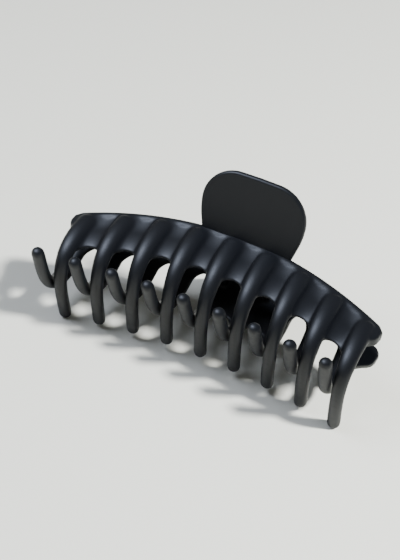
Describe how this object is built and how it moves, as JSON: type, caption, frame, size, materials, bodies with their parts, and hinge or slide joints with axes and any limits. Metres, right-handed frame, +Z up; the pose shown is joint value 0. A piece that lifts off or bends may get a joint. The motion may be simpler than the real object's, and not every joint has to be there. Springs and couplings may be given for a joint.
{
  "type": "claw clip",
  "caption": "Large matt black claw hair clip: two bowed jaws with crossing curved teeth, thumb tabs, a steel hinge pin and a torsion spring.",
  "frame": {"origin": "on the table, under the middle of the clip's box, as the clip lies on its front teeth and its lower thumb tab", "axes": "+Z up from the table; +X along the clip, parallel to the hinge pin; -Y towards the teeth"},
  "size_m": [0.1216, 0.064, 0.0663],
  "materials": {
    "matt_black_plastic": "injection-moulded plastic with a soft-touch matt black coat",
    "spring_steel": "drawn and nickel-plated steel wire"
  },
  "bodies": {
    "lower_half": {"lower_jaw": "matt_black_plastic", "hinge_pin": "spring_steel", "torsion_spring": "spring_steel"},
    "upper_half": {"upper_jaw": "matt_black_plastic", "spring_upper_leg": "spring_steel"}
  },
  "joints": [
    {"name": "jaw_hinge", "type": "hinge", "parent": "lower_half", "child": "upper_half", "pos_m": [0.00475, 0.00762, 0.02771], "axis": [-1, 0, 0], "range_deg": [0, 60], "stiffness_Nm_per_rad": 0.15, "springref_deg": -34.38}
  ]
}
